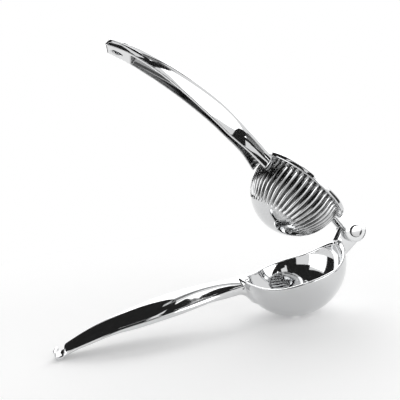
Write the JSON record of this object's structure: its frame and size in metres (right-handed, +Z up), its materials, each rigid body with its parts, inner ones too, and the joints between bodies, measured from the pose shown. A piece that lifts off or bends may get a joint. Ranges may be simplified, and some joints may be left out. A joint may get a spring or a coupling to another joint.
{
  "type": "lemon squeezer",
  "caption": "Hinged hand squeezer: a round bowl with drain holes and a ribbed press dome on two curved lever handles, joined by a rivet.",
  "frame": {"origin": "centre of the bounding box's base, on the table plane under the open squeezer", "axes": "+X runs from the handle tips towards the hinge, +Y lies along the hinge axis, +Z is up"},
  "size_m": [0.2036, 0.0686, 0.1841],
  "materials": {
    "lower_casting": "polished chrome plate on cast zinc alloy",
    "upper_casting": "polished chrome plate on cast zinc alloy",
    "rivet": "bright steel, lightly brushed by the forming tool"
  },
  "bodies": {
    "lower": {"lower_arm": "lower_casting"},
    "upper": {"upper_arm": "upper_casting", "hinge_rivet": "rivet"}
  },
  "joints": [
    {"name": "arm_hinge", "type": "hinge", "parent": "lower", "child": "upper", "pos_m": [0.09421, 0, 0.04764], "axis": [0, 1, 0], "range_deg": [-54, 120]}
  ]
}
